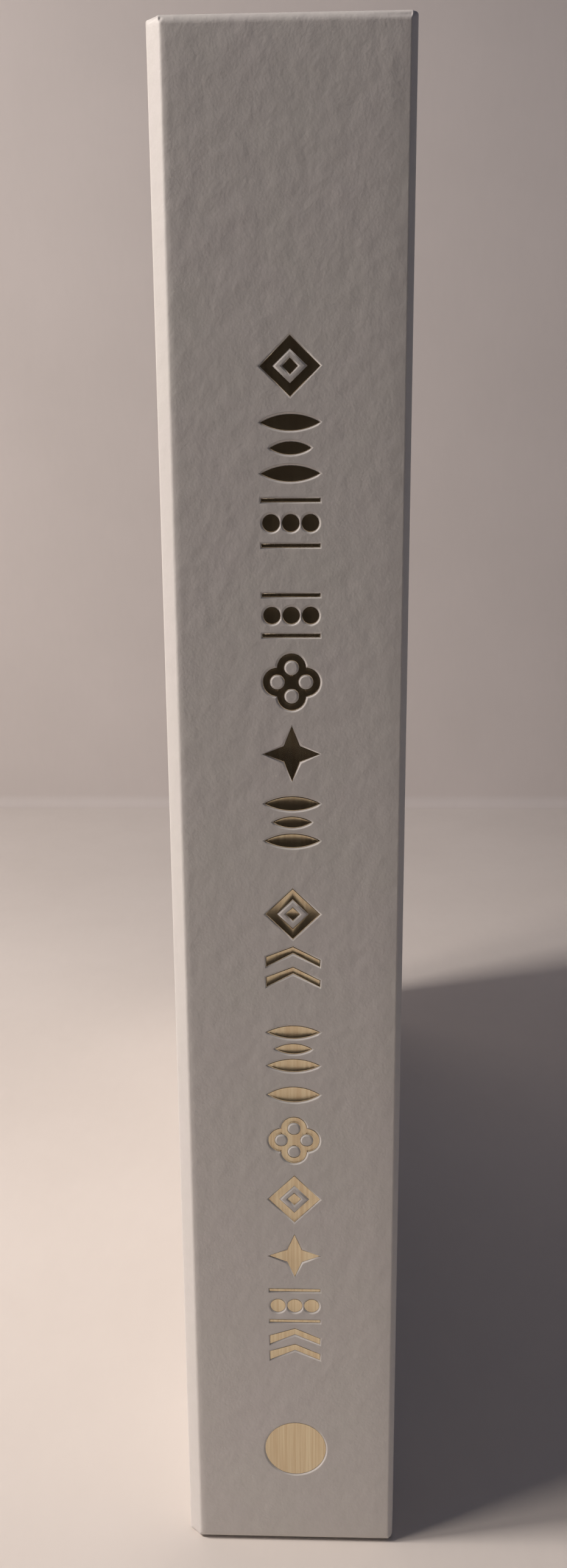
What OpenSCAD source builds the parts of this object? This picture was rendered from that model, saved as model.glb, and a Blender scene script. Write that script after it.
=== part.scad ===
// Case-bound hardcover book with a flat spine, standing on its tail.
//
// Frame: +Z runs from tail to head, the spine faces -Y and the front cover is at +X.
// The origin is the middle of the closed book's footprint, on the surface it stands on.
// Inside the modules y is counted from the spine's face, and in_frame() moves it home.

/* [Text block] */
// Thickness of the sewn and glued pages
block_t = 28.2; // [24:0.2:34]
// Page width from the glued back to the fore-edge
page_w = 216; // [180:1:230]
// Page height from tail to head
page_h = 234; // [200:1:260]
// Thickness of an endpaper leaf
leaf_t = 0.2; // [0.1:0.1:0.3]

/* [Case] */
// Thickness of the two cover boards
board_t = 2.5; // [2:0.1:3.2]
// Thickness of the spine board
spine_board_t = 2.4; // [2:0.1:3]
// Thickness of the laminated cover paper with its glue
paper_t = 0.3; // [0.2:0.05:0.4]
// Overhang of the covers past the pages
square_w = 3; // [2:0.5:5]
// Width of the pressed joint between the spine and each cover
joint_w = 7.5; // [6.5:0.5:9]
// How far the cover paper turns in over the boards
turn_in = 15; // [10:1:18]
// Air between a closed cover and the first leaf
cover_gap = 0.3; // [0.2:0.1:0.4]

/* [Spine edges] */
// Width of the slanted edge on the back-cover side
bevel_w = 2.05; // [1:0.05:2.5]
// Depth of the slanted edge on the back-cover side
bevel_d = 2.2; // [1.5:0.1:2.6]
// Width of the narrower slanted edge on the front-cover side
front_bevel_w = 0.95; // [0.6:0.05:2]
// Depth of the narrower slanted edge on the front-cover side
front_bevel_d = 1.5; // [0.8:0.1:2.2]
// How far the folded paper is drawn in at the spine's outer corners
corner_cut = 0.4; // [0.2:0.05:0.6]
// Radius where the paper turns over the head and tail of the spine
head_r = 1.6; // [0.6:0.1:1.8]
// Radius of the edges of the cover boards with their paper
cover_r = 0.8; // [0.5:0.1:1.2]

/* [Spine stamping] */
// Height of the marks, measured across the spine
mark_h = 8.4; // [6:0.2:10]
// Broad stroke of the marks
broad = 1.1; // [0.8:0.1:1.4]
// Fine stroke of the marks
fine = 0.5; // [0.4:0.1:0.8]
// Height of the top of the first mark above the tail
title_top = 200.3; // [190:0.1:206]
// Sideways place of the marks from the middle of the spine's face
title_shift = 0.35; // [-1:0.05:1]
// Diameter of the round mark near the tail
emblem_d = 10.4; // [8:0.2:12]
// Height of the middle of the round mark above the tail
emblem_z = 19.2; // [16:0.2:24]
// Depth that the stamping presses into the paper
press_d = 0.2; // [0.1:0.05:0.25]
// Thickness of the metal foil
foil_t = 0.1; // [0.05:0.05:0.1]

/* [Hidden] */
$fn = 48;
eps = 0.01;

// Heights
case_h = page_h + 2 * square_w;
page_z = square_w;

// Sideways layers, from the middle of the book outwards
block_x = block_t / 2;
leaf_x = block_x + leaf_t;
paste_x = leaf_x + cover_gap;
turn_x = paste_x + leaf_t;
board_x = turn_x + paper_t;
board_out_x = board_x + board_t;
case_x = board_out_x + paper_t;

// Layers from the spine's face forward to the pages
spine_back_y = paper_t + spine_board_t;
spine_turn_y = spine_back_y + paper_t;
hollow = 0.5;
lining_t = 0.4;
lining_y = spine_turn_y + hollow;
page_y = lining_y + lining_t;
slope_w = 1.4;
cover_y = spine_turn_y + joint_w;
split_gap = 0.6;
hinge_y = spine_turn_y + joint_w / 2;
case_d = page_y + page_w + square_w;

// The flat face of the spine lies between its two slanted edges
face_left = -case_x + bevel_w;
face_right = case_x - front_bevel_w;
face_mid = (face_left + face_right) / 2;

// Mull and band sizes
mull_end = 15;
band_r = 0.9;

// The stamped marks in four groups from the head downwards, each with its length along the spine
groups = [
    [["lozenge", 8.1], ["leaves", 9.1], ["beads", 6.8]],
    [["beads", 6.3], ["petals", 8.5], ["star", 8.4], ["leaves", 8.0]],
    [["lozenge", 8.2], ["chevrons", 5.6]],
    [["leaves", 7.9], ["leaf", 3.3], ["petals", 8.2], ["lozenge", 8.5], ["star", 7.9], ["beads", 6.4],
     ["chevrons", 5.0]]
];
mark_gap = 2.3;
group_gap = 6.5;

function len_to(g, n) = n <= 0 ? 0 : g[n - 1][1] + len_to(g, n - 1);
function group_len(g) = len_to(g, len(g)) + (len(g) - 1) * mark_gap;
function group_start(k) = k <= 0 ? 0 : group_start(k - 1) + group_len(groups[k - 1]) + group_gap;
function mark_centre(k, i) =
    title_top - group_start(k) - len_to(groups[k], i) - i * mark_gap - groups[k][i][1] / 2;

// Points that round the corner b of the line a-b-c, starting and ending reach away from it
function turn(a, b, c, reach, n) =
    let (p = b + reach * (a - b) / norm(a - b), q = b + reach * (c - b) / norm(c - b))
    [for (i = [0:n]) let (t = i / n) p * (1 - t) * (1 - t) + b * 2 * t * (1 - t) + q * t * t];

// A smooth step from p to q that leaves and arrives along Y
function ease(p, q, n) =
    [for (i = [0:n]) let (t = i / n) [p[0] + (q[0] - p[0]) * (1 - cos(180 * t)) / 2, p[1] + (q[1] - p[1]) * t]];

// Left-hand normal of the step from p to q
function normal(p, q) = let (d = (q - p) / norm(q - p)) [-d[1], d[0]];

// A line of points moved sideways by w, with mitred corners
function beside(pts, w) =
    [for (i = [0:len(pts) - 1])
        let (a = i == 0 ? normal(pts[0], pts[1]) : normal(pts[i - 1], pts[i]),
             b = i == len(pts) - 1 ? a : normal(pts[i], pts[i + 1]))
        pts[i] + w * (a + b) / (1 + a * b)];

function backwards(pts) = [for (i = [len(pts) - 1:-1:0]) pts[i]];

// Outer line of the paper across the spine, from the front ridge over the face to the back ridge
bevel_slope = [bevel_w, bevel_d] / norm([bevel_w, bevel_d]);
soft = 0.9;
spine_line = concat(
    [[case_x, spine_turn_y]],
    turn([case_x, spine_turn_y], [case_x, front_bevel_d], [face_right, 0], 0.6, 4),
    turn([case_x, front_bevel_d], [face_right, 0], [0, 0], 0.35, 2),
    [[face_left + soft, 0], [face_left + soft * 0.35, 0.05]],
    [[face_left - bevel_slope[0] * soft * 0.35, bevel_slope[1] * soft * 0.35 + 0.05]],
    [[-case_x + bevel_slope[0] * 0.35, bevel_d - bevel_slope[1] * 0.3]],
    [[-case_x, bevel_d + 0.25], [-case_x, spine_turn_y]]
);

// Outer line of the paper in the front joint: over the ridge, along the floor, up the board
ridge_line = ease([case_x, spine_turn_y], [board_x, spine_turn_y + slope_w], 8);
board_line = ease([board_x, cover_y - slope_w], [case_x, cover_y], 8);

module in_frame() {
    translate([0, -case_d / 2, 0])
        children();
}

// A flat outline in X and Z, given depth from y0 to y1
module stamp(y0, y1) {
    translate([0, y1, 0])
        rotate([90, 0, 0])
            linear_extrude(y1 - y0)
                children();
}

// A rectangle with corners of radius r on its low-x side, and on the other side if both is set
module soft_rect(x0, x1, y0, y1, r, both = false) {
    end = both ? r : 0;
    translate([x0 + r, y0])
        square([x1 - x0 - r - end, y1 - y0]);
    translate([x0, y0 + r])
        square([x1 - x0, y1 - y0 - 2 * r]);
    for (x = both ? [x0 + r, x1 - r] : [x0 + r])
        for (y = [y0 + r, y1 - r])
            translate([x, y])
                circle(r = r);
}

// ---- Marks of the stamping: x runs across the spine, y along it, w is the length along it ----

// A leaf of length l and breadth t, pointed at both ends
module leaf_shape(l, t) {
    r = (l * l + t * t) / (4 * t);
    intersection() {
        translate([0, r - t / 2])
            circle(r = r, $fn = 96);
        translate([0, t / 2 - r])
            circle(r = r, $fn = 96);
    }
}

module lozenge_shape(h, w) {
    polygon([[-h / 2, 0], [0, -w / 2], [h / 2, 0], [0, w / 2]]);
}

module mark_leaves(w) {
    for (s = [-1, 1])
        translate([0, s * (w / 2 - broad)])
            leaf_shape(mark_h, 2 * broad);
    leaf_shape(mark_h * 0.7, 1.6 * broad);
}

module mark_lozenge(w) {
    difference() {
        lozenge_shape(mark_h, w);
        lozenge_shape(mark_h - 3.2 * broad, w - 3.2 * broad);
    }
    lozenge_shape(2 * broad, 2 * broad);
}

module mark_beads(w) {
    for (s = [-1, 1])
        translate([-mark_h / 2, s * (w - fine) / 2 - fine / 2])
            square([mark_h, fine]);
    for (x = [-1, 0, 1])
        translate([x * mark_h / 3, 0])
            circle(d = min(mark_h / 3.4, w - 2 * fine - broad));
}

module mark_petals(w) {
    r = min(mark_h, w) / 4;
    difference() {
        union() {
            for (a = [0:90:270])
                rotate(a)
                    translate([r, 0])
                        circle(r = r);
            circle(r = 0.3 * r);
        }
        for (a = [0:90:270])
            rotate(a)
                translate([r, 0])
                    circle(r = 0.52 * r);
    }
}

module mark_star(w) {
    polygon([for (i = [0:7]) let (a = i * 45, k = i % 2 == 0 ? 0.5 : 0.2)
        [mark_h * k * cos(a), w * k * sin(a)]]);
}

module mark_chevrons(w) {
    rise = w / 2 - broad / 2;
    for (y = [-w / 2, broad / 2])
        polygon([[-mark_h / 2, y + 1.5 * broad], [-mark_h / 2, y], [0, y + rise], [mark_h / 2, y],
                 [mark_h / 2, y + 1.5 * broad - fine], [0, y + rise + broad]]);
}

module mark(kind, w) {
    if (kind == "leaf") leaf_shape(mark_h, w * 0.8);
    if (kind == "leaves") mark_leaves(w);
    if (kind == "lozenge") mark_lozenge(w);
    if (kind == "beads") mark_beads(w);
    if (kind == "petals") mark_petals(w);
    if (kind == "star") mark_star(w);
    if (kind == "chevrons") mark_chevrons(w);
}

module title_marks() {
    for (k = [0:len(groups) - 1])
        for (i = [0:len(groups[k]) - 1])
            translate([face_mid + title_shift, mark_centre(k, i)])
                mark(groups[k][i][0], groups[k][i][1]);
}

module emblem_mark() {
    translate([face_mid + title_shift, emblem_z])
        circle(d = emblem_d);
}

// ---- Text block and what is glued to it ----

// All the pages as one solid, trimmed square on three sides
module text_block() {
    color("ivory")
        in_frame()
            translate([-block_x, page_y, page_z])
                cube([block_t, page_w, page_h]);
}

// Gauze and paper glued over the back of the pages, with flanges into both joints
module spine_lining() {
    color("gainsboro")
        in_frame()
            translate([0, 0, page_z + mull_end])
                linear_extrude(page_h - 2 * mull_end)
                    difference() {
                        translate([-turn_x, lining_y])
                            square([2 * turn_x, hinge_y - split_gap / 2 - lining_y]);
                        translate([-leaf_x, page_y])
                            square([2 * leaf_x, joint_w]);
                    }
}

// Woven band: a tab on the back of the pages and a bead that rolls onto their edge
module end_band() {
    translate([-block_x, lining_y, page_z + page_h - mull_end])
        cube([block_t, lining_t, mull_end]);
    difference() {
        translate([-block_x, page_y + lining_t, page_z + page_h + band_r - 0.2])
            rotate([0, 90, 0])
                cylinder(r = band_r, h = block_t);
        translate([-case_x, page_y, page_z + page_h - band_r])
            cube([2 * case_x, 2 * band_r, band_r]);
    }
    translate([-block_x, lining_y, page_z + page_h - eps])
        cube([block_t, lining_t, band_r / 2]);
}

module head_band() {
    color("white")
        in_frame()
            end_band();
}

module tail_band() {
    color("white")
        in_frame()
            translate([0, 0, case_h])
                mirror([0, 0, 1])
                    end_band();
}

// First leaf, tipped to the side of the pages
module flyleaf() {
    translate([block_x, page_y, page_z])
        cube([leaf_t, page_w, page_h]);
}

module front_flyleaf() {
    color("whitesmoke")
        in_frame()
            flyleaf();
}

module back_flyleaf() {
    color("whitesmoke")
        in_frame()
            mirror([1, 0, 0])
                flyleaf();
}

// ---- Spine of the case ----

// The spine's section, a distance inside its outer line, rounded over head and tail and drawn in at its corners
module spine_core(inside, back_y) {
    line = beside(spine_line, -inside);
    cut = [for (p = line) [p[0], min(p[1], back_y)]];
    top = case_h - inside;
    intersection() {
        translate([0, 0, inside])
            linear_extrude(case_h - 2 * inside)
                polygon(cut);
        stamp(-1, spine_turn_y + 1)
            polygon([
                [face_left, inside], [face_right, inside], [case_x, inside + corner_cut],
                [case_x, top - corner_cut], [face_right, top], [face_left, top],
                [-case_x, top - corner_cut], [-case_x, inside + corner_cut]
            ]);
        rotate([90, 0, 90])
            translate([0, 0, -case_x])
                linear_extrude(2 * case_x)
                    soft_rect(inside, back_y, inside, case_h - inside, head_r - inside);
    }
}

// Paper over the ridge and down to the floor of the front joint, up to the split
module ridge_strip() {
    line = concat([[case_x, spine_back_y]], ridge_line, [[board_x, hinge_y - split_gap / 2]]);
    linear_extrude(case_h)
        polygon(concat(line, backwards(beside(line, paper_t))));
}

module spine_board() {
    color("tan")
        in_frame()
            spine_core(paper_t, spine_back_y);
}

// The middle of the printed paper, turned in over the spine board at head and tail
module spine_paper() {
    color("gainsboro")
        in_frame()
            difference() {
                union() {
                    difference() {
                        spine_core(0, spine_turn_y);
                        spine_core(paper_t, spine_back_y);
                        translate([-board_out_x, spine_back_y - eps, turn_in])
                            cube([2 * board_out_x, 2 * paper_t, case_h - 2 * turn_in]);
                    }
                    ridge_strip();
                    mirror([1, 0, 0])
                        ridge_strip();
                }
                stamp(-1, press_d) {
                    title_marks();
                    emblem_mark();
                }
            }
}

// Metal foil pressed into the marks of the title
module title_foil() {
    color("goldenrod")
        in_frame()
            stamp(press_d - foil_t, press_d)
                title_marks();
}

module emblem_foil() {
    color("goldenrod")
        in_frame()
            stamp(press_d - foil_t, press_d)
                emblem_mark();
}

// ---- Front cover, and its mirror image at the back ----

// The cover's envelope, a distance inside its outer faces
module cover_core(inside) {
    x0 = turn_x + inside;
    x1 = case_x - inside;
    intersection() {
        translate([0, 0, inside])
            linear_extrude(case_h - 2 * inside)
                rotate(-90)
                    soft_rect(inside - case_d, -cover_y - inside, x0, x1, cover_r - inside);
        translate([0, case_d - inside, 0])
            rotate([90, 0, 0])
                linear_extrude(case_d - cover_y - 2 * inside)
                    soft_rect(x0, x1, inside, case_h - inside, cover_r - inside, both = true);
    }
}

module cover_board() {
    cover_core(paper_t);
}

// Printed paper over the board, turned in on three sides, with its strip of the joint
module cover_paper() {
    line = concat([[board_x, hinge_y + split_gap / 2]], board_line, [[case_x, cover_y + 2 * paper_t]]);
    difference() {
        cover_core(0);
        cover_core(paper_t);
        translate([turn_x - eps, cover_y - eps, turn_in])
            cube([paper_t + 2 * eps, case_d - cover_y - turn_in + eps, case_h - 2 * turn_in]);
        translate([turn_x - eps, cover_y - eps, -eps])
            cube([board_out_x - turn_x + eps, paper_t + 2 * eps, case_h + 2 * eps]);
    }
    linear_extrude(case_h)
        polygon(concat(line, backwards(beside(line, paper_t))));
}

// Endpaper glued inside the cover: on the turn-ins at its rim, down on the board in the middle
module pastedown() {
    y0 = hinge_y + split_gap / 2;
    y1 = page_y + page_w;
    difference() {
        translate([paste_x, y0, page_z])
            cube([leaf_t, y1 - y0, page_h]);
        translate([paste_x - eps, cover_y + leaf_t, turn_in + leaf_t])
            cube([leaf_t + 2 * eps, case_d - turn_in - cover_y - 2 * leaf_t, case_h - 2 * turn_in - 2 * leaf_t]);
    }
    difference() {
        translate([paste_x, cover_y, turn_in])
            cube([board_x - paste_x, case_d - turn_in - cover_y, case_h - 2 * turn_in]);
        translate([paste_x - eps, cover_y + leaf_t, turn_in + leaf_t])
            cube([paper_t + eps, case_d - turn_in - cover_y - 2 * leaf_t, case_h - 2 * turn_in - 2 * leaf_t]);
    }
}

module front_board() {
    color("tan")
        in_frame()
            cover_board();
}

module front_cover_paper() {
    color("gainsboro")
        in_frame()
            cover_paper();
}

module front_pastedown() {
    color("whitesmoke")
        in_frame()
            pastedown();
}

module back_board() {
    color("tan")
        in_frame()
            mirror([1, 0, 0])
                cover_board();
}

module back_cover_paper() {
    color("gainsboro")
        in_frame()
            mirror([1, 0, 0])
                cover_paper();
}

module back_pastedown() {
    color("whitesmoke")
        in_frame()
            mirror([1, 0, 0])
                pastedown();
}

text_block();
spine_lining();
head_band();
tail_band();
front_flyleaf();
back_flyleaf();
spine_board();
spine_paper();
title_foil();
emblem_foil();
front_board();
front_cover_paper();
front_pastedown();
back_board();
back_cover_paper();
back_pastedown();
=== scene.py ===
import math

import bmesh
import bpy
from mathutils import Matrix, Vector, noise
from mathutils.geometry import delaunay_2d_cdt


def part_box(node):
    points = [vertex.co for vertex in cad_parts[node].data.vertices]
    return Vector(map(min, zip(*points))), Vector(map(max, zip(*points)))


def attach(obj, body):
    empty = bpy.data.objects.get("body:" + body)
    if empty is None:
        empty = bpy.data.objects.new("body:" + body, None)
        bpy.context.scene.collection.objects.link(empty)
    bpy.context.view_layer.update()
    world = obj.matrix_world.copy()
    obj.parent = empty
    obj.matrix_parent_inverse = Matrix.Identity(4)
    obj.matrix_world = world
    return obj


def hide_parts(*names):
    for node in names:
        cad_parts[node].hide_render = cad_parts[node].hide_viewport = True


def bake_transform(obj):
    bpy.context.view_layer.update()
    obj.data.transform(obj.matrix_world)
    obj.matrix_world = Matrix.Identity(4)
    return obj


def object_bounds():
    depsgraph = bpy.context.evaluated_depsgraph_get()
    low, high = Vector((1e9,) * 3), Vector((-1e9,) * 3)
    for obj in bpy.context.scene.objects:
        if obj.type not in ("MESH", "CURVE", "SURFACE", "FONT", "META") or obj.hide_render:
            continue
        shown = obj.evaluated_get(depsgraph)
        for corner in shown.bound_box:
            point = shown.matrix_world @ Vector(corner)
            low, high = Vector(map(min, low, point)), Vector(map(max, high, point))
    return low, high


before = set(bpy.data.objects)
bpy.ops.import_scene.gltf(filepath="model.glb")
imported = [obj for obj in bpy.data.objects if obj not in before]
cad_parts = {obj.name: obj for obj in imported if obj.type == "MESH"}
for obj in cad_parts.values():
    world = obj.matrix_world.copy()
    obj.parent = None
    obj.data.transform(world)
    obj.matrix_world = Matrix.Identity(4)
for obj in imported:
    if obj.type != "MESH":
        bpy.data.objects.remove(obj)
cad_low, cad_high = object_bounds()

# Lengths in the sections are in millimetres. x runs across the closed book with the front cover at +x,
# y is counted from the spine's face towards the fore-edge, and z from the tail up to the head.


# ---- Text block ----
# The pages: thin uncoated leaves in sewn and glued sections, one solid block once they are trimmed.
# The guillotine and the handling leave each leaf a hair longer or shorter than its neighbours.
MM = 0.001
BOOK_H = (cad_high.z - cad_low.z) / MM
BOOK_D = (cad_high.y - cad_low.y) / MM
BOOK_X = cad_high.x / MM
block_low, block_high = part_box("text_block")
BLOCK_X = block_high.x / MM
PAGE_Y = (block_low.y - cad_low.y) / MM
PAGE_W = (block_high.y - block_low.y) / MM
PAGE_Z = block_low.z / MM
PAGE_H = (block_high.z - block_low.z) / MM
LEAVES = 128
LEAF_GAP = 0.02
TRIM = 0.14
WAVE = 1.2


def add_node(tree, kind, inputs=None, **settings):
    """Adds a node to a tree. An input given as a socket is linked, any other is set."""
    node = tree.nodes.new(kind)
    for name, value in settings.items():
        setattr(node, name, value)
    for key, value in (inputs or {}).items():
        if isinstance(value, bpy.types.NodeSocket):
            tree.links.new(value, node.inputs[key])
        else:
            node.inputs[key].default_value = value
    return node


def new_group(name, kind, inputs, outputs):
    """A node group with named sockets, and the sockets of its two end nodes."""
    tree = bpy.data.node_groups.new(name, kind)
    for label, (socket, value) in inputs.items():
        made = tree.interface.new_socket(label, in_out="INPUT", socket_type="NodeSocket" + socket)
        made.default_value = value
    for label, socket in outputs.items():
        tree.interface.new_socket(label, in_out="OUTPUT", socket_type="NodeSocket" + socket)
    return tree, tree.nodes.new("NodeGroupInput").outputs, tree.nodes.new("NodeGroupOutput").inputs


def math_node(tree, operation, *values):
    return add_node(tree, "ShaderNodeMath", dict(enumerate(values)), operation=operation).outputs[0]


def noise_node(tree, vector, scale, detail=2.0, roughness=0.5):
    return add_node(tree, "ShaderNodeTexNoise", {
        "Vector": vector, "Scale": scale, "Detail": detail, "Roughness": roughness}).outputs["Fac"]


def map_range(tree, value, low, high, to_low=0.0, to_high=1.0):
    return add_node(tree, "ShaderNodeMapRange", {
        "Value": value, "From Min": low, "From Max": high, "To Min": to_low, "To Max": to_high}).outputs[0]


def mix_tones(tree, share, *tones):
    """A mix of two colours, each given as a socket or as three numbers."""
    first, second = (tone if isinstance(tone, bpy.types.NodeSocket) else (*tone, 1) for tone in tones)
    return add_node(tree, "ShaderNodeMix", {0: share, 6: first, 7: second}, data_type="RGBA").outputs[2]


def new_material(name, roughness, **values):
    """A material with its own Principled shader, and the tree, the shader and Object coordinates."""
    material = bpy.data.materials.new(name)
    material.use_nodes = True
    tree = material.node_tree
    shader = tree.nodes["Principled BSDF"]
    shader.inputs["Roughness"].default_value = roughness
    for label, value in values.items():
        shader.inputs[label.replace("_", " ")].default_value = value
    return material, tree, shader, tree.nodes.new("ShaderNodeTexCoord").outputs["Object"]


def stock_group():
    """Paper stock: cloudy mottling in the pulp, fine fibres along one way, and their relief."""
    tree, given, result = new_group(
        "paper_stock", "ShaderNodeTree",
        {"Vector": ("Vector", (0, 0, 0)), "Tone": ("Color", (0.8, 0.8, 0.8, 1)),
         "Shade": ("Color", (0.7, 0.7, 0.7, 1)), "Cloud Scale": ("Float", 200.0),
         "Fibre Scale": ("Float", 2500.0), "Fibre Share": ("Float", 0.3)},
        {"Color": "Color", "Cloud": "Float", "Fibre": "Float", "Height": "Float"})
    stretched = add_node(tree, "ShaderNodeMapping", {"Vector": given["Vector"], "Scale": (1, 0.45, 0.35)})
    cloud = noise_node(tree, given["Vector"], given["Cloud Scale"], 4.0, 0.55)
    fibre = noise_node(tree, stretched.outputs[0], given["Fibre Scale"], 2.0, 0.6)
    both = add_node(tree, "ShaderNodeMix", {0: given["Fibre Share"], 2: cloud, 3: fibre}).outputs[0]
    colour = mix_tones(tree, map_range(tree, both, 0.32, 0.68), given["Tone"], given["Shade"])
    for label, socket in (("Color", colour), ("Cloud", cloud), ("Fibre", fibre), ("Height", both)):
        tree.links.new(socket, result[label])
    return tree


paper_stock = stock_group()


def stock_node(tree, vector, tone, shade, cloud, fibre, share):
    return add_node(tree, "ShaderNodeGroup", {
        "Vector": vector, "Tone": (*tone, 1), "Shade": (*shade, 1), "Cloud Scale": cloud,
        "Fibre Scale": fibre, "Fibre Share": share}, node_tree=paper_stock).outputs


def relief(tree, shader, height, depth):
    """Feeds a height from 0 to 1 to the shader's normal, as a relief that is depth millimetres deep."""
    bump = add_node(tree, "ShaderNodeBump", {"Height": height, "Distance": depth * MM, "Strength": 1.0})
    tree.links.new(bump.outputs[0], shader.inputs["Normal"])


def paint(tree, shader, colour):
    tree.links.new(colour, shader.inputs["Base Color"])


def page_paper_material():
    material, tree, shader, place = new_material("page_stock", 0.86)
    stock = stock_node(tree, place, (0.86, 0.84, 0.78), (0.77, 0.74, 0.67), 320.0, 1800.0, 0.45)
    across = add_node(tree, "ShaderNodeMapping", {"Vector": place, "Scale": (1, 0.02, 0.02)})
    edges = noise_node(tree, across.outputs[0], 4300.0, 2.0, 0.7)
    colour = mix_tones(tree, math_node(tree, "MULTIPLY", edges, 0.45), stock["Color"], (0.62, 0.58, 0.5))
    paint(tree, shader, colour)
    relief(tree, shader, stock["Height"], 0.03)
    return material


def leaf_stack_tree(material):
    """Leaves side by side on a line, each cut a little differently, with a slow wave through them all."""
    tree, given, result = new_group(
        "leaf_stack", "GeometryNodeTree",
        {"Leaves": ("Int", 100), "First": ("Vector", (0, 0, 0)), "Pitch": ("Vector", (0, 0, 0)),
         "Leaf Size": ("Vector", (1, 1, 1)), "Shortest": ("Vector", (1, 1, 1)), "Wave": ("Float", 0.0),
         "Half": ("Float", 1.0), "Seed": ("Int", 7)},
        {"Geometry": "Geometry"})
    line = add_node(tree, "GeometryNodeMeshLine", {
        "Count": given["Leaves"], "Start Location": given["First"], "Offset": given["Pitch"]}, mode="OFFSET")
    leaf = add_node(tree, "GeometryNodeMeshCube", {
        "Size": given["Leaf Size"], "Vertices X": 2, "Vertices Y": 13, "Vertices Z": 15})
    width = add_node(tree, "ShaderNodeSeparateXYZ", {0: given["Leaf Size"]}).outputs["Y"]
    forward = add_node(tree, "ShaderNodeCombineXYZ", {"Y": math_node(tree, "MULTIPLY", width, 0.5)})
    glued = add_node(tree, "GeometryNodeTransform", {
        "Geometry": leaf.outputs["Mesh"], "Translation": forward.outputs[0]})
    cut = add_node(tree, "FunctionNodeRandomValue", {
        "Min": given["Shortest"], "Max": (1, 1, 1), "Seed": given["Seed"]}, data_type="FLOAT_VECTOR")
    stack = add_node(tree, "GeometryNodeInstanceOnPoints", {
        "Points": line.outputs[0], "Instance": glued.outputs[0], "Scale": cut.outputs["Value"]})
    real = add_node(tree, "GeometryNodeRealizeInstances", {0: stack.outputs[0]})
    position = add_node(tree, "GeometryNodeInputPosition").outputs[0]
    place = add_node(tree, "ShaderNodeSeparateXYZ", {0: position})
    flat = add_node(tree, "ShaderNodeCombineXYZ", {"Y": place.outputs["Y"], "Z": place.outputs["Z"]})
    swell = noise_node(tree, flat.outputs[0], 16.0, 1.0)
    share = math_node(tree, "DIVIDE", place.outputs["X"], given["Half"])
    inner = math_node(tree, "SUBTRACT", 1.0, math_node(tree, "MULTIPLY", share, share))
    swing = math_node(tree, "SUBTRACT", swell, 0.5)
    shift = math_node(tree, "MULTIPLY", math_node(tree, "MULTIPLY", swing, inner), given["Wave"])
    sideways = add_node(tree, "ShaderNodeCombineXYZ", {"X": shift})
    moved = add_node(tree, "GeometryNodeSetPosition", {
        "Geometry": real.outputs[0], "Offset": sideways.outputs[0]})
    finish = add_node(tree, "GeometryNodeSetMaterial", {"Geometry": moved.outputs[0], "Material": material})
    tree.links.new(finish.outputs[0], result["Geometry"])
    return tree


def settle(piece):
    """Turns a piece and its modifiers into the plain mesh that they make."""
    evaluated = piece.evaluated_get(bpy.context.evaluated_depsgraph_get())
    made = bpy.data.meshes.new_from_object(evaluated)
    piece.modifiers.clear()
    piece.data = made
    return piece


def grow(name, tree, values):
    """Runs a geometry tree with these inputs and keeps the result as a plain mesh."""
    piece = bpy.data.objects.new(name, bpy.data.meshes.new(name))
    bpy.context.scene.collection.objects.link(piece)
    maker = piece.modifiers.new(name, "NODES")
    maker.node_group = tree
    for item in tree.interface.items_tree:
        if item.in_out == "INPUT" and item.name in values:
            maker[item.identifier] = values[item.name]
    settle(piece)
    given = list(piece.data.materials)
    used = [material for material in given if material]
    for face in piece.data.polygons:
        face.material_index = used.index(given[face.material_index])
    piece.data.materials.clear()
    for material in used:
        piece.data.materials.append(material)
    return piece


page_paper = page_paper_material()
pitch = 2 * BLOCK_X / LEAVES * MM
pages = grow("pages", leaf_stack_tree(page_paper), {
    "Leaves": LEAVES,
    "First": (-BLOCK_X * MM + pitch / 2, cad_low.y + PAGE_Y * MM, (PAGE_Z + PAGE_H / 2) * MM),
    "Pitch": (pitch, 0.0, 0.0), "Leaf Size": (pitch - LEAF_GAP * MM, PAGE_W * MM, PAGE_H * MM),
    "Shortest": (1.0, 1 - TRIM / PAGE_W, 1 - 1.6 * TRIM / PAGE_H), "Wave": WAVE * MM,
    "Half": BLOCK_X * MM, "Seed": 7})
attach(pages, "book")
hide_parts("text_block")


# ---- Spine lining ----
# Starched gauze glued over the back of the pages with a layer of glue and brown paper.
# Its two flanges run out into the joints, where they hold the block in its case.
LINING_T = 0.35
LINING_END = 15.0
FLANGE_T = 0.08
FLANGE_X = 14.8
SIDES = ((1, "front"), (-1, "back"))
FOLD_Y = 4.2


def add_piece(name, points, faces, material, smooth=True):
    """A mesh object from points in millimetres, with its place in its mesh."""
    mesh = bpy.data.meshes.new(name)
    mesh.from_pydata([(x * MM, cad_low.y + y * MM, z * MM) for x, y, z in points], [], faces)
    mesh.materials.append(material)
    mesh.polygons.foreach_set("use_smooth", [smooth] * len(mesh.polygons))
    piece = bpy.data.objects.new(name, mesh)
    bpy.context.scene.collection.objects.link(piece)
    return piece


def grid_faces(rows, columns, flip=False):
    """Quads between rows of points that follow each other in one list."""
    faces = []
    for r in range(rows - 1):
        for c in range(columns - 1):
            a = r * columns + c
            quad = (a, a + 1, a + columns + 1, a + columns)
            faces.append(quad[::-1] if flip else quad)
    return faces


def spread(low, high, step):
    """Evenly spaced numbers from low to high, no further apart than step."""
    count = max(1, math.ceil((high - low) / step))
    return [low + (high - low) * i / count for i in range(count + 1)]


def thicken(piece, thickness, rim=0.0):
    """Gives a sheet its thickness on its inner side, and softens the cut rim."""
    wall = piece.modifiers.new("thickness", "SOLIDIFY")
    wall.thickness = thickness * MM
    wall.offset = -1.0
    if rim:
        soft = piece.modifiers.new("rim", "BEVEL")
        soft.width = rim * MM
        soft.segments = 2
        soft.limit_method = "ANGLE"
        soft.angle_limit = math.radians(60)
    return settle(piece)


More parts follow.
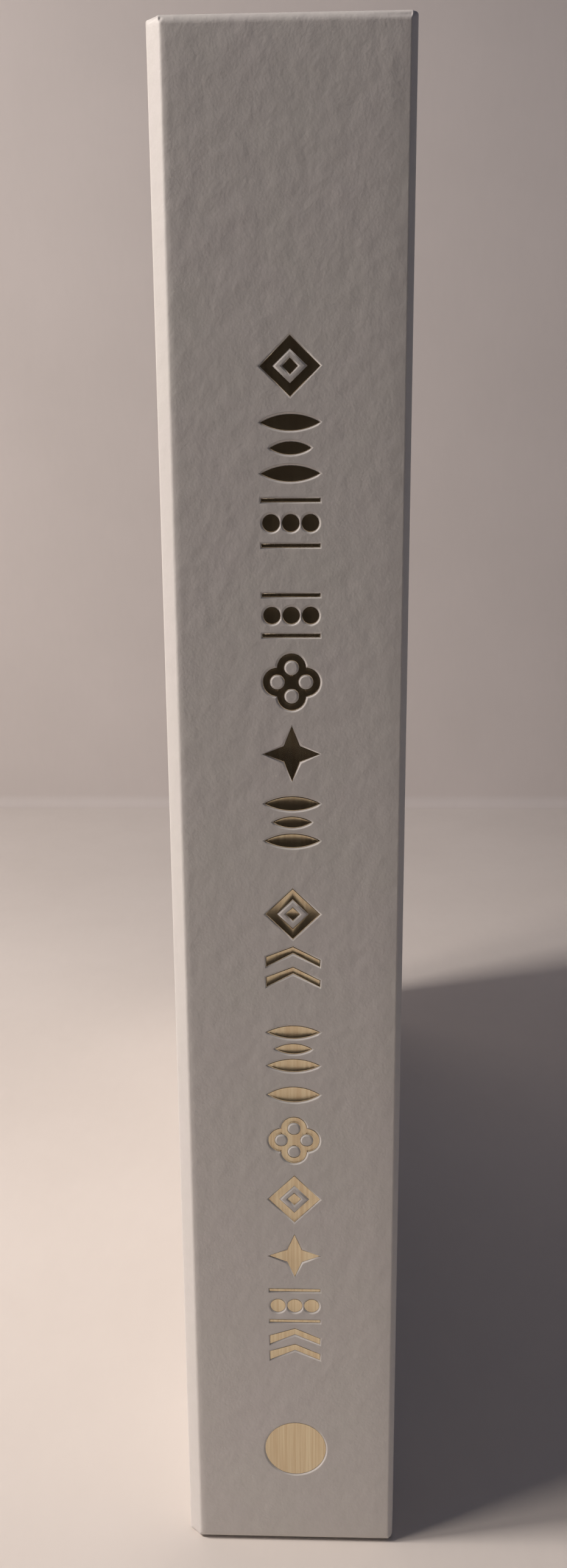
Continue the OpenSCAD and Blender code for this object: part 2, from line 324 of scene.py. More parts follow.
def upright_sheet(name, line, heights, material, thickness, flip=False):
    """A sheet that follows a line of (x, y) points and stands along z. Its outer side is the line's right."""
    points = [(x, y, z) for z in heights for x, y in line]
    piece = add_piece(name, points, grid_faces(len(heights), len(line), flip), material)
    return thicken(piece, thickness)


def weave_group():
    """Plain weave: threads over and under each other in two directions, with a little slub."""
    tree, given, result = new_group(
        "plain_weave", "ShaderNodeTree",
        {"Vector": ("Vector", (0, 0, 0)), "Thread": ("Float", 1000.0), "Slub": ("Float", 0.2)},
        {"Height": "Float", "Gap": "Float"})
    part = add_node(tree, "ShaderNodeSeparateXYZ", {0: given["Vector"]}).outputs
    across = math_node(tree, "MULTIPLY", math_node(tree, "ADD", part["X"], part["Y"]), given["Thread"])
    along = math_node(tree, "MULTIPLY", part["Z"], given["Thread"])
    warp = math_node(tree, "ABSOLUTE", math_node(tree, "SINE", across))
    weft = math_node(tree, "ABSOLUTE", math_node(tree, "SINE", along))
    slub = noise_node(tree, given["Vector"], given["Thread"])
    height = math_node(tree, "MAXIMUM", warp, weft)
    rough = math_node(tree, "MULTIPLY_ADD", slub, given["Slub"], height)
    tree.links.new(rough, result["Height"])
    tree.links.new(math_node(tree, "SUBTRACT", 1.0, height), result["Gap"])
    return tree


def cloth_material(name, tone, gap_tone, thread, depth):
    material, tree, shader, place = new_material(name, 0.9)
    cloth = add_node(tree, "ShaderNodeGroup", {"Vector": place, "Thread": thread, "Slub": 0.3},
                     node_tree=plain_weave).outputs
    shade = stock_node(tree, place, tone, [0.86 * c for c in tone], 500.0, 4000.0, 0.5)
    colour = mix_tones(tree, cloth["Gap"], shade["Color"], gap_tone)
    paint(tree, shader, colour)
    relief(tree, shader, cloth["Height"], depth)
    return material


plain_weave = weave_group()
gauze = cloth_material("lining_gauze", (0.72, 0.68, 0.6), (0.45, 0.37, 0.27), 3600.0, 0.12)
lining_heights = spread(PAGE_Z + LINING_END, PAGE_Z + PAGE_H - LINING_END, 20)
lining_y = PAGE_Y - LINING_T
lining = upright_sheet("lining_back", [(x, lining_y) for x in spread(-BLOCK_X - 0.15, BLOCK_X + 0.15, 4)],
                       lining_heights, gauze, LINING_T)
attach(lining, "book")
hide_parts("spine_lining")


def hinge_blend(piece):
    """Bakes the piece's placing into its points. The piece is glued to the book at the fold and to the cover
    past the joint.
    """
    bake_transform(piece)


for side, word in SIDES:
    line = [(side * 14.34, 3.6), (side * 14.5, 3.95)]
    line += [(side * (FLANGE_X - 0.12 * max(0, 1 - (y - FOLD_Y) / 0.8)), y) for y in spread(FOLD_Y, 8.6, 0.4)]
    flange = upright_sheet(word + "_lining_flange", line, lining_heights, gauze, FLANGE_T, flip=side < 0)
    hinge_blend(flange)


# ---- Head and tail bands ----
# Ready-made band: a cotton core wrapped in white and pale straw thread on a tape.
# The tape is glued to the back of the pages, and the wrapped bead sits on their edge.
BEAD_R = 0.78
THREAD_R = 0.13
BAND_Y = 4.3
TAPE_H = 14.0
TAPE_T = 0.3
TAPE_Y = 3.72
BEAD_OUT = 0.66
BEAD_SHORT = 0.15
STITCHES = 106


def thread_material(name, tone, shade):
    material, tree, shader, place = new_material(name, 0.62, Sheen_Weight=0.35)
    twist = add_node(tree, "ShaderNodeMapping", {"Vector": place, "Rotation": (0.5, 0, 0.7)})
    strand = add_node(tree, "ShaderNodeTexWave", {
        "Vector": twist.outputs[0], "Scale": 1500.0, "Distortion": 2.0, "Detail": 2.0})
    colour = mix_tones(tree, strand.outputs["Fac"], shade, tone)
    paint(tree, shader, colour)
    relief(tree, shader, strand.outputs["Fac"], 0.04)
    return material


def round_curve(tree, radius, steps):
    return add_node(tree, "GeometryNodeCurvePrimitiveCircle", {
        "Resolution": steps, "Radius": radius}).outputs[0]


def wrapped_band_tree(first, second, tape):
    """A core on a line, a ring of thread at each stitch in two turns of colour, and a tape beside it."""
    tree, given, result = new_group(
        "wrapped_band", "GeometryNodeTree",
        {"Start": ("Vector", (0, 0, 0)), "End": ("Vector", (1, 0, 0)), "Stitches": ("Int", 20),
         "Bead Radius": ("Float", 0.001), "Thread Radius": ("Float", 0.0001),
         "Tape Size": ("Vector", (1, 1, 1)), "Tape Place": ("Vector", (0, 0, 0)), "Seed": ("Int", 3)},
        {"Geometry": "Geometry"})
    line = add_node(tree, "GeometryNodeCurvePrimitiveLine", {"Start": given["Start"], "End": given["End"]})
    core_radius = math_node(tree, "SUBTRACT", given["Bead Radius"], given["Thread Radius"])
    core = add_node(tree, "GeometryNodeCurveToMesh", {
        "Curve": line.outputs[0], "Profile Curve": round_curve(tree, core_radius, 16), "Fill Caps": True})
    stations = add_node(tree, "GeometryNodeCurveToPoints", {
        "Curve": line.outputs[0], "Count": given["Stitches"]}, mode="COUNT")
    ring = add_node(tree, "GeometryNodeCurveToMesh", {
        "Curve": round_curve(tree, given["Bead Radius"], 18),
        "Profile Curve": round_curve(tree, given["Thread Radius"], 6)})
    slant = add_node(tree, "FunctionNodeRandomValue", {
        "Min": (-0.03, math.pi / 2 - 0.02, 0.1), "Max": (0.03, math.pi / 2 + 0.02, 0.2),
        "Seed": given["Seed"]}, data_type="FLOAT_VECTOR")
    rings = add_node(tree, "GeometryNodeInstanceOnPoints", {
        "Points": stations.outputs[0], "Instance": ring.outputs[0], "Rotation": slant.outputs["Value"]})
    count = math_node(tree, "FLOORED_MODULO", add_node(tree, "GeometryNodeInputIndex").outputs[0], 8.0)
    chosen = add_node(tree, "FunctionNodeCompare", {0: count, 1: 3.5}, operation="GREATER_THAN")
    parts = add_node(tree, "GeometryNodeSeparateGeometry", {
        "Geometry": rings.outputs[0], "Selection": chosen.outputs[0]}, domain="INSTANCE")
    tape_box = add_node(tree, "GeometryNodeMeshCube", {
        "Size": given["Tape Size"], "Vertices X": 20, "Vertices Y": 2, "Vertices Z": 8})
    tape_there = add_node(tree, "GeometryNodeTransform", {
        "Geometry": tape_box.outputs[0], "Translation": given["Tape Place"]})
    joined = add_node(tree, "GeometryNodeJoinGeometry")
    for source, material in ((core.outputs[0], tape), (parts.outputs[0], first), (parts.outputs[1], second),
                             (tape_there.outputs[0], tape)):
        real = add_node(tree, "GeometryNodeRealizeInstances", {0: source})
        finish = add_node(tree, "GeometryNodeSetMaterial", {
            "Geometry": real.outputs[0], "Material": material})
        tree.links.new(finish.outputs[0], joined.inputs[0])
    tree.links.new(joined.outputs[0], result["Geometry"])
    return tree


white_thread = thread_material("white_thread", (0.86, 0.84, 0.79), (0.62, 0.6, 0.56))
straw_thread = thread_material("straw_thread", (0.74, 0.63, 0.42), (0.5, 0.41, 0.25))
tape_cloth = cloth_material("band_tape", (0.8, 0.78, 0.72), (0.5, 0.48, 0.43), 7000.0, 0.06)
band_tree = wrapped_band_tree(white_thread, straw_thread, tape_cloth)
for word, end, way in (("head", PAGE_Z + PAGE_H, 1), ("tail", PAGE_Z, -1)):
    bead_z = end + way * BEAD_OUT
    band_y = cad_low.y + BAND_Y * MM
    band = grow(word + "_band_wrapped", band_tree, {
        "Start": (-(BLOCK_X - BEAD_SHORT) * MM, band_y, bead_z * MM),
        "End": ((BLOCK_X - BEAD_SHORT) * MM, band_y, bead_z * MM),
        "Stitches": STITCHES, "Bead Radius": BEAD_R * MM, "Thread Radius": THREAD_R * MM,
        "Tape Size": (2 * BLOCK_X * MM, TAPE_T * MM, TAPE_H * MM),
        "Tape Place": (0.0, cad_low.y + TAPE_Y * MM, (end - way * (TAPE_H / 2 - 0.4)) * MM), "Seed": 3})
    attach(band, "book")
    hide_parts(word + "_band")


# ---- Flyleaves ----
# First and last leaf: the free halves of the endpapers, tipped along the fold to the outer pages.
# Heavier, smooth off-white stock that has taken a slight wave from the glue.
FLYLEAF_T = 0.19
FLYLEAF_X = 14.3


def endpaper_material():
    material, tree, shader, place = new_material("endpaper_stock", 0.74)
    stock = stock_node(tree, place, (0.84, 0.81, 0.75), (0.79, 0.755, 0.69), 260.0, 2400.0, 0.4)
    paint(tree, shader, stock["Color"])
    tree.links.new(map_range(tree, stock["Cloud"], 0.0, 1.0, 0.66, 0.82), shader.inputs["Roughness"])
    relief(tree, shader, stock["Height"], 0.03)
    return material


endpaper = endpaper_material()


def flat_sheet(name, side, sheet_x, ys, zs, material, thickness):
    """A sheet in the covers' plane that faces away from the pages. sheet_x gives its outer side's x."""
    points = [(side * sheet_x(y, z), y, z) for z in zs for y in ys]
    piece = add_piece(name, points, grid_faces(len(zs), len(ys), flip=side < 0), material)
    return thicken(piece, thickness)


for side, word in SIDES:
    def leaf_x(y, z, side=side):
        loose = min(1.0, max(0.0, (y - 60) / 150))
        return FLYLEAF_X + 0.14 * loose * (0.5 + 0.5 * noise.noise(Vector((side * 3.0, y / 48, z / 60))))
    leaf = flat_sheet(word + "_endpaper_leaf", side, leaf_x, spread(PAGE_Y, PAGE_Y + PAGE_W - 0.05, 6),
                      spread(PAGE_Z + 0.05, PAGE_Z + PAGE_H - 0.05, 6), endpaper, FLYLEAF_T)
    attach(leaf, "book")
    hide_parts(word + "_flyleaf")


# ---- Boards ----
# Greyboard cut for the two covers and the spine: recycled pulp, speckled, with a hard rolled surface.
# The boards are glued inside the cover paper, so they show only at gaps.


def greyboard_material():
    material, tree, shader, place = new_material("greyboard_pulp", 0.88)
    stock = stock_node(tree, place, (0.36, 0.33, 0.29), (0.27, 0.245, 0.21), 700.0, 3000.0, 0.5)
    fleck = add_node(tree, "ShaderNodeTexVoronoi", {"Vector": place, "Scale": 900.0})
    dark = map_range(tree, fleck.outputs["Distance"], 0.05, 0.16, 0.8, 0.0)
    paint(tree, shader, mix_tones(tree, dark, stock["Color"], (0.12, 0.1, 0.08)))
    relief(tree, shader, stock["Height"], 0.06)
    return material


def refinish(node, material):
    """Puts a material in every slot of a CAD node."""
    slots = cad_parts[node].material_slots
    for slot in slots:
        slot.material = material
    if not slots:
        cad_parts[node].data.materials.append(material)


greyboard = greyboard_material()
for node in ("spine_board", "front_board", "back_board"):
    refinish(node, greyboard)


# ---- Cover paper over the spine ----
# One printed sheet with a matte film, glued round the spine board and turned in over its head and tail.
# The stamping press has pushed the marks into it, so each has a soft shoulder of paper round it.
PAPER_T = 0.28
FACE_LEFT = -15.85
FACE_RIGHT = 16.95
BEVEL_FOOT = 2.2
NARROW_FOOT = 1.5
CROWN_W = 1.1
CROWN_D = 0.09
CORNER_CUT = 0.4
CORNER_BLEND = 0.8
PUCKER_R = 0.24
PUCKER_DEPTH = 0.16
PUCKER_GAP = 0.85
PUCKERS_X = (FACE_LEFT + 0.1, FACE_RIGHT - 0.15)
SIDE_Y = 3.0
HEAD_R = 1.6
TURN_R = 0.4
TURN_IN = 15.0
MARK_H = 8.4
BROAD = 1.1
FINE = 0.5
TITLE_X = 0.9
TITLE_TOP = 200.3
MARK_GAP = 2.3
GROUP_GAP = 6.5
EMBLEM_Z = 19.2
EMBLEM_D = 10.4
PRESS = 0.19
CURL_W = 0.1
SHOULDER = 0.28
GUARD = 0.1
CELL_RIM = 0.48


def film_group():
    """Soft-touch film over paper: shallow dimples, a finer tooth, and the faint drift of the white."""
    tree, given, result = new_group(
        "matte_film", "ShaderNodeTree",
        {"Vector": ("Vector", (0, 0, 0)), "Dimple Scale": ("Float", 360.0), "Tooth Scale": ("Float", 2600.0)},
        {"Height": "Float", "Drift": "Float"})
    slanted = add_node(tree, "ShaderNodeMapping", {
        "Vector": given["Vector"], "Rotation": (0.0, 0.5, 0.0), "Scale": (1.0, 1.0, 0.8)})
    dimple = noise_node(tree, slanted.outputs[0], given["Dimple Scale"], 3.0)
    tooth = noise_node(tree, given["Vector"], given["Tooth Scale"], 3.0, 0.6)
    tree.links.new(math_node(tree, "MULTIPLY_ADD", tooth, 0.16, dimple), result["Height"])
    tree.links.new(noise_node(tree, slanted.outputs[0], 95.0, 4.0, 0.6), result["Drift"])
    return tree


def rub_group():
    """Handling wear: the edge mask broken up by a patchy noise, from 0 where untouched to 1 where rubbed."""
    tree, given, result = new_group(
        "edge_rub", "ShaderNodeTree",
        {"Vector": ("Vector", (0, 0, 0)), "Edge": ("Float", 0.0), "Patch Scale": ("Float", 400.0),
         "Amount": ("Float", 0.5)},
        {"Rub": "Float"})
    patch = noise_node(tree, given["Vector"], given["Patch Scale"], 5.0, 0.65)
    reach = math_node(tree, "MULTIPLY", given["Edge"], patch)
    tree.links.new(map_range(tree, reach, 0.34, 0.62, 0.0, given["Amount"]), result["Rub"])
    return tree


def cover_paper_material():
    material, tree, shader, place = new_material("matte_cover_paper", 0.5)
    shader.inputs["Specular IOR Level"].default_value = 0.42
    stock = stock_node(tree, place, (0.79, 0.754, 0.73), (0.755, 0.72, 0.697), 420.0, 2600.0, 0.35)
    film = add_node(tree, "ShaderNodeGroup", {"Vector": place}, node_tree=matte_film).outputs
    edge = add_node(tree, "ShaderNodeAttribute", attribute_name="edge").outputs["Fac"]
    worn = add_node(tree, "ShaderNodeGroup", {"Vector": place, "Edge": edge}, node_tree=edge_rub)
    rub = worn.outputs["Rub"]
    drift = math_node(tree, "MULTIPLY", map_range(tree, film["Drift"], 0.3, 0.7), 0.55)
    tinted = mix_tones(tree, drift, stock["Color"], (0.765, 0.752, 0.70))
    paint(tree, shader, mix_tones(tree, rub, tinted, (0.66, 0.62, 0.56)))
    satin = map_range(tree, stock["Cloud"], 0.0, 1.0, 0.4, 0.56)
    tree.links.new(math_node(tree, "MULTIPLY_ADD", rub, 0.2, satin), shader.inputs["Roughness"])
    relief(tree, shader, film["Height"], 0.115)
    return material


matte_film = film_group()
edge_rub = rub_group()
cover_paper = cover_paper_material()


def corner(a, b, c, reach, steps):
    """Points that round the corner b of the line a-b-c, starting and ending reach away from it."""
    before = Vector(b) + (Vector(a) - Vector(b)).normalized() * reach
    after = Vector(b) + (Vector(c) - Vector(b)).normalized() * reach
    points = []
    for i in range(steps + 1):
        t = i / steps
        points.append(tuple(before * (1 - t) ** 2 + Vector(b) * 2 * t * (1 - t) + after * t * t))
    return points


def quarter(centre, rx, ry, start, end, steps):
    """Points on an ellipse about centre from angle start to end, in degrees."""
    angles = [math.radians(start + (end - start) * i / steps) for i in range(steps + 1)]
    return [(centre[0] + rx * math.cos(a), centre[1] + ry * math.sin(a)) for a in angles]


class Shape:
    """One cut shape of the stamp: an outline, a distance to it, and whether it is cut out of the others."""

    def __init__(self, outline, cut_out=False, disc=None):
        self.outline = [Vector(p) for p in outline]
        self.cut_out = cut_out
        self.disc = disc

    def distance(self, p):
        """Signed distance from p to the outline, below 0 inside."""
        if self.disc:
            centre, radius = self.disc
            return (p - Vector(centre)).length - radius
        inside = False
        nearest = 1e9
        for a, b in zip(self.outline, self.outline[1:] + self.outline[:1]):
            edge = b - a
            t = max(0.0, min(1.0, (p - a).dot(edge) / edge.length_squared))
            nearest = min(nearest, (p - a - edge * t).length)
            if (a.y > p.y) != (b.y > p.y) and p.x < a.x + (p.y - a.y) / (b.y - a.y) * (b.x - a.x):
                inside = not inside
        return -nearest if inside else nearest

    def ring(self, offset):
        """The outline moved outwards by an offset, or inwards where the shape is cut out."""
        way = -offset if self.cut_out else offset
        count = len(self.outline)
        points = []
        for i, b in enumerate(self.outline):
            first = (b - self.outline[i - 1]).normalized()
            second = (self.outline[(i + 1) % count] - b).normalized()
            left = Vector((first.y, -first.x)) + Vector((second.y, -second.x))
            step = left * way / max(0.01, 1 + first.dot(second))
            points.append(b + step * min(1.0, 1.2 * abs(way) / max(step.length, 1e-9)))
        return points


def leaf_shape(centre, length, breadth, steps=18):
    r = (length ** 2 + breadth ** 2) / (4 * breadth)
    half = math.degrees(math.asin(length / 2 / r))
    low = quarter((centre[0], centre[1] + r - breadth / 2), r, r, -90 - half, -90 + half, steps)
    high = quarter((centre[0], centre[1] - r + breadth / 2), r, r, 90 - half, 90 + half, steps)
    return Shape(low[:-1] + high[:-1])


def disc_shape(centre, radius, cut_out=False, steps=28):
    outline = quarter(centre, radius, radius, 0, 360 * (steps - 1) / steps, steps - 1)
    return Shape(outline, cut_out, disc=(centre, radius))


def lozenge_shape(h, w, cut_out=False):
    return Shape([(-h / 2, 0), (0, -w / 2), (h / 2, 0), (0, w / 2)], cut_out)


def mark_leaves(w):
    side = w / 2 - BROAD
    return [leaf_shape((0, -side), MARK_H, 2 * BROAD), leaf_shape((0, side), MARK_H, 2 * BROAD),
            leaf_shape((0, 0), MARK_H * 0.7, 1.6 * BROAD)]


def mark_lozenge(w):
    return [lozenge_shape(MARK_H, w), lozenge_shape(MARK_H - 3.2 * BROAD, w - 3.2 * BROAD, True),
            lozenge_shape(2 * BROAD, 2 * BROAD)]


def mark_beads(w):
    bars = []
    for s in (-1, 1):
        low = s * (w - FINE) / 2 - FINE / 2
        bars.append(Shape([(-MARK_H / 2, low), (MARK_H / 2, low), (MARK_H / 2, low + FINE),
                           (-MARK_H / 2, low + FINE)]))
    radius = min(MARK_H / 3.4, w - 2 * FINE - BROAD) / 2
    return bars + [disc_shape((x * MARK_H / 3, 0), radius) for x in (-1, 0, 1)]


def mark_petals(w):
    r = min(MARK_H, w) / 4
    petals = [disc_shape(c, r) for c in ((r, 0), (0, r), (-r, 0), (0, -r))]
    heart = disc_shape((0, 0), 0.3 * r, steps=16)
    return petals + [heart] + [disc_shape(c, 0.52 * r, True, 24) for c in ((r, 0), (0, r), (-r, 0), (0, -r))]


def mark_star(w):
    points = []
    for i in range(8):
        reach = 0.2 if i % 2 else 0.5
        points.append((MARK_H * reach * math.cos(i * math.pi / 4), w * reach * math.sin(i * math.pi / 4)))
    return [Shape(points)]


def mark_chevrons(w):
    rise = (w - BROAD) / 2
    return [Shape([(-MARK_H / 2, y + 1.5 * BROAD), (-MARK_H / 2, y), (0, y + rise), (MARK_H / 2, y),
                   (MARK_H / 2, y + 1.5 * BROAD - FINE), (0, y + rise + BROAD)])
            for y in (-w / 2, BROAD / 2)]


def pressed_distance(shapes, p):
    """Signed distance to the whole mark. A cut-out takes away only what was drawn before it."""
    result = 1e9
    for shape in shapes:
        d = shape.distance(p)
        result = max(result, -d) if shape.cut_out else min(result, d)
    return result


kinds = {"leaves": mark_leaves, "lozenge": mark_lozenge, "beads": mark_beads, "petals": mark_petals,
         "star": mark_star, "chevrons": mark_chevrons,
         "leaf": lambda w: [leaf_shape((0, 0), MARK_H, 0.8 * w)]}
groups = [
    [("lozenge", 8.1), ("leaves", 9.1), ("beads", 6.8)],
    [("beads", 6.3), ("petals", 8.5), ("star", 8.4), ("leaves", 8.0)],
    [("lozenge", 8.2), ("chevrons", 5.6)],
    [("leaves", 7.9), ("leaf", 3.3), ("petals", 8.2), ("lozenge", 8.5), ("star", 7.9), ("beads", 6.4),
     ("chevrons", 5.0)],
]
marks = []
top = TITLE_TOP
for group in groups:
    for kind, w in group:
        marks.append(("title", top - w / 2, kinds[kind](w)))
        top -= w + MARK_GAP
    top += MARK_GAP - GROUP_GAP
marks.append(("emblem", EMBLEM_Z, [disc_shape((0, 0), EMBLEM_D / 2, steps=72)]))

# The section across the spine, from the back joint over the wide slanted edge, the face and the narrow one
edge_low = [(-BOOK_X, SIDE_Y)] + corner((-BOOK_X, SIDE_Y), (-BOOK_X, BEVEL_FOOT), (FACE_LEFT, 0), 0.4, 6)
crown = [(FACE_LEFT + CROWN_W * i / 6, CROWN_D * (1 - i / 6) ** 2) for i in range(7)]
edge_low += corner((-BOOK_X, BEVEL_FOOT), crown[0], crown[1], 0.3, 8)[:-1] + crown[2:]
edge_high = corner((0, 0), (FACE_RIGHT, 0), (BOOK_X, NARROW_FOOT), 0.22, 6)
edge_high += corner((FACE_RIGHT, 0), (BOOK_X, NARROW_FOOT), (BOOK_X, SIDE_Y), 0.6, 6) + [(BOOK_X, SIDE_Y)]
flat_columns = spread(edge_low[-1][0], edge_high[0][0], 3.5)
columns = edge_low + [(x, 0.0) for x in flat_columns[1:-1]] + edge_high
first_flat, last_flat = len(edge_low) - 1, len(columns) - len(edge_high)

# The rows up the spine, as (z, y): turn-in, fold, tail edge, face, head edge, fold, turn-in
half_rows = [(TURN_IN, SIDE_Y), (8.0, SIDE_Y), (3.0, SIDE_Y)]
half_rows += quarter((TURN_R, SIDE_Y - TURN_R), TURN_R, TURN_R, 90, 180, 5)
inner_rows = len(half_rows)
half_rows += [(0.0, 2.1), (0.0, 1.65)] + quarter((HEAD_R, HEAD_R), HEAD_R, HEAD_R, 180, 270, 14)
cells = []
for name, z, shapes in marks:
    heights = [z + p.y for shape in shapes for p in shape.outline]
    cells.append((min(heights) - CELL_RIM, max(heights) + CELL_RIM, name, z, shapes))
cells.sort(key=lambda cell: cell[0])
flat_rows = [HEAD_R]
for low, high, name, z, shapes in cells:
    flat_rows += spread(flat_rows[-1], low, 6)[1:] + [high]
flat_rows += spread(flat_rows[-1], BOOK_H - HEAD_R, 6)[1:]
rows = half_rows + [(z, 0.0) for z in flat_rows[1:-1]] + [(BOOK_H - z, y) for z, y in half_rows[::-1]]
first_row = len(half_rows) - 1


def smooth_step(t):
    t = max(0.0, min(1.0, t))
    return t * t * (3 - 2 * t)


def drawn_in(z, share):
    """The height z once the fold at the outer corners has drawn the sheet in by a share of the cut."""
    cut = share * CORNER_CUT * max(0.0, 1 - min(z, BOOK_H - z) / 6)
    return z + cut if z < BOOK_H / 2 else z - cut


def wrap_point(column, row, turned_in):
    """Where the sheet lies: as deep as the deeper of the two sections, softly joined at the corners.
    Where a corner's fold meets the face there is a small pucker."""
    (x, y), (z, down) = column, row
    gap = min(z, BOOK_H - z)
    z = drawn_in(z, smooth_step(y / BEVEL_FOOT))
    if turned_in:
        return (x, down, z)
    blend = 0.5 * min(y, down, CORNER_BLEND)
    near = max(0.0, blend - abs(y - down)) / blend if blend > 1e-6 else 0.0
    depth = max(y, down) + near * near * blend / 4
    for pucker_x in PUCKERS_X:
        away = (x - pucker_x) ** 2 + (gap - PUCKER_GAP) ** 2
        depth += PUCKER_DEPTH * math.exp(-away / PUCKER_R ** 2)
    return (x, min(SIDE_Y, depth), z)


def pressed_cell(low, high, name, z, shapes):
    """Triangles of the face between two rows, with rings of points round a mark that the stamp pressed in."""
    box = [(x, low) for x in flat_columns] + [(x, high) for x in reversed(flat_columns)]
    points = [Vector(p) for p in box]
    edges = [(i, (i + 1) % len(box)) for i in range(len(box))]
    for shape in shapes:
        for offset in (-CURL_W, 0.0, 0.09, 0.18, SHOULDER, SHOULDER + GUARD):
            ring = [p + Vector((TITLE_X, z)) for p in shape.ring(offset)]
            start = len(points)
            points += ring
            edges += [(start + i, start + (i + 1) % len(ring)) for i in range(len(ring))]
    made, _, faces, *_ = delaunay_2d_cdt(points, edges, [], 0, 1e-5)
    far = [pressed_distance(shapes, p - Vector((TITLE_X, z))) for p in made]
    return made, faces, far


def paper_depth(d):
    """How deep the paper is pressed at a signed distance from the foil's outline."""
    return PRESS * smooth_step(1 - d / SHOULDER) if d > 0 else PRESS + 0.02 * smooth_step(-d / CURL_W)


def foil_depth(d):
    """The foil's surface: flat in the middle, curling up a little with the paper at its outline."""
    return PRESS - 0.012 - 0.03 * (1 - smooth_step(-d / CURL_W))


points = [wrap_point(column, row, min(i, len(rows) - 1 - i) < inner_rows)
          for i, row in enumerate(rows) for column in columns]
faces = []
last_row = first_row + len(flat_rows) - 1
cell_lows = {round(cell[0], 4) for cell in cells}
for r in range(len(rows) - 1):
    pressed = first_row <= r < last_row and round(rows[r][0], 4) in cell_lows
    for c in range(len(columns) - 1):
        if not (pressed and first_flat <= c < last_flat):
            a = r * len(columns) + c
            faces.append((a, a + 1, a + len(columns) + 1, a + len(columns)))
foil_parts = {"title": ([], []), "emblem": ([], [])}
for low, high, name, z, shapes in cells:
    made, triangles, far = pressed_cell(low, high, name, z, shapes)
    start = len(points)
    points += [(p.x, paper_depth(d), p.y) for p, d in zip(made, far)]
    foil_points, foil_faces = foil_parts[name]
    foil_start = len(foil_points)
    foil_points += [(p.x, foil_depth(min(0.0, d)), p.y) for p, d in zip(made, far)]
    for triangle in triangles:
        corners = [made[i] for i in triangle]
        turned = (corners[1] - corners[0]).cross(corners[2] - corners[0]) < 0
        triangle = tuple(reversed(triangle)) if turned else tuple(triangle)
        faces.append(tuple(start + i for i in triangle))
        middle = sum((Vector(p) for p in corners), Vector((0, 0))) / len(corners)
        if pressed_distance(shapes, middle - Vector((TITLE_X, z))) < 0:
            foil_faces.append(tuple(foil_start + i for i in triangle))


def tidy_mesh(piece, distance=0.002):
    """Joins points that lie on each other and drops faces without area and points without faces."""
    work = bmesh.new()
    work.from_mesh(piece.data)
    bmesh.ops.remove_doubles(work, verts=work.verts, dist=distance * MM)
    bmesh.ops.dissolve_degenerate(work, edges=work.edges, dist=distance * MM)
    loose = [v for v in work.verts if not v.link_faces]
    bmesh.ops.delete(work, geom=loose, context="VERTS")
    work.to_mesh(piece.data)
    work.free()
    piece.data.polygons.foreach_set("use_smooth", [True] * len(piece.data.polygons))
    return piece


def mark_edges(piece, low, high, reach=1.3):
    """Writes how near each point is to an outer edge of the box from low to high, for the wear to follow."""
    values = []
    for vertex in piece.data.vertices:
        x, y, z = vertex.co.x / MM, (vertex.co.y - cad_low.y) / MM, vertex.co.z / MM
        gaps = sorted(min(abs(v - a), abs(v - b)) for v, a, b in zip((x, y, z), low, high))
        values.append(max(0.0, 1 - gaps[1] / reach))
    piece.data.attributes.new("edge", "FLOAT", "POINT").data.foreach_set("value", values)


spine_wrap = tidy_mesh(add_piece("spine_wrap", points, faces, cover_paper))
thicken(spine_wrap, PAPER_T)
# The folds' inner side comes out a hair past the tail and the head, and is held level with them
for vertex in spine_wrap.data.vertices:
    vertex.co.z = min(cad_high.z, max(0.0, vertex.co.z))
mark_edges(spine_wrap, (-BOOK_X, 0, 0), (BOOK_X, 99, BOOK_H))
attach(spine_wrap, "book")
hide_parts("spine_paper")


# ---- Stamped foil ----
# Satin gold-coloured foil, a few thousandths thick, released from its carrier by a hot brass die.
# It lies on the floor of the pressed marks and keeps the fine upright brushing of the die.
FOIL_T = 0.03


def brushed_group():
    """Brushing: long thin scratches one way, and a slower change of how matte the metal is."""
    tree, given, result = new_group(
        "brushed_metal", "ShaderNodeTree",
        {"Vector": ("Vector", (0, 0, 0)), "Line Scale": ("Float", 2200.0)},
        {"Height": "Float", "Matte": "Float"})
    drawn = add_node(tree, "ShaderNodeMapping", {"Vector": given["Vector"], "Scale": (1, 1, 0.02)})
    tree.links.new(noise_node(tree, drawn.outputs[0], given["Line Scale"], 2.0, 0.7), result["Height"])
    tree.links.new(noise_node(tree, given["Vector"], 350.0, 3.0), result["Matte"])
    return tree


def foil_material():
    material, tree, shader, place = new_material("satin_gold_foil", 0.2, Metallic=1.0)
    metal = add_node(tree, "ShaderNodeGroup", {"Vector": place}, node_tree=brushed_metal).outputs
    streak = map_range(tree, metal["Height"], 0.36, 0.64)
    colour = mix_tones(tree, streak, (0.82, 0.71, 0.49), (0.7, 0.56, 0.37))
    paint(tree, shader, colour)
    tree.links.new(map_range(tree, metal["Matte"], 0.0, 1.0, 0.15, 0.27), shader.inputs["Roughness"])
    relief(tree, shader, metal["Height"], 0.004)
    return material


brushed_metal = brushed_group()
satin_foil = foil_material()
for name, (foil_points, foil_faces) in foil_parts.items():
    foil = tidy_mesh(add_piece(name + "_marks", foil_points, foil_faces, satin_foil))
    thicken(foil, FOIL_T)
    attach(foil, "book")
    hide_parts(name + "_foil")


# ---- Cover paper in the joints ----
# The same sheet between spine and covers, pressed with a hot iron into a groove that lets a cover swing.
# It is glued to the ridge of the spine on one side and to the board on the other.
GROOVE_X = 15.1
SLOPE_W = 1.4
COVER_Y = 10.5
TUCK = 0.16


def ease(p, q, steps):
    """A smooth step from p to q that leaves and arrives along y."""
    return [(p[0] + (q[0] - p[0]) * (1 - math.cos(math.pi * i / steps)) / 2, p[1] + (q[1] - p[1]) * i / steps)
            for i in range(steps + 1)]


